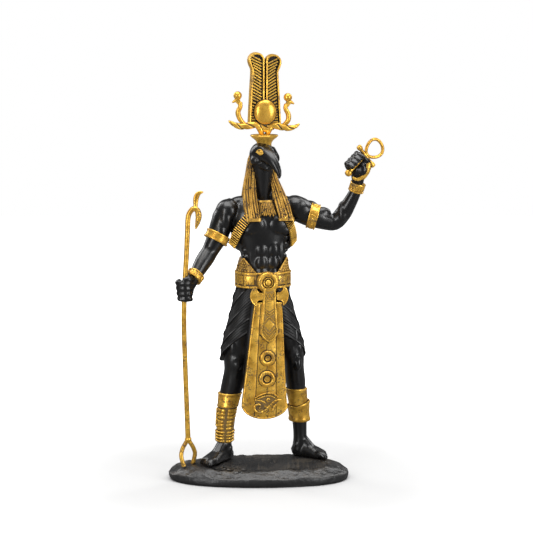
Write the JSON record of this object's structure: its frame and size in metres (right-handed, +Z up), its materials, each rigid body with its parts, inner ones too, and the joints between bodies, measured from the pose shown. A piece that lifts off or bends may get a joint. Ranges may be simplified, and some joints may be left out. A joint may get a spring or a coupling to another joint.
{
  "type": "thoth statue",
  "caption": "Standing figurine of an ibis-headed god with a tall plumed crown, holding a forked staff and an ankh, on a low oval rock base.",
  "frame": {"origin": "centre of the oval base's flat underside", "axes": "+Z up along the standing figure, +X along the base's long axis towards the raised arm, -Y is the front"},
  "size_m": [0.1524, 0.066, 0.2999],
  "materials": {
    "black_resin": "cold-cast resin painted satin black, with antique gold paint and a dark wash on the crown, headcloth, belt, apron and bands",
    "gold_paint": "cold-cast resin with antique gold paint and a dark wash"
  },
  "bodies": {
    "root": {"figure": "black_resin", "was_sceptre": "gold_paint", "ankh": "gold_paint"}
  },
  "joints": []
}
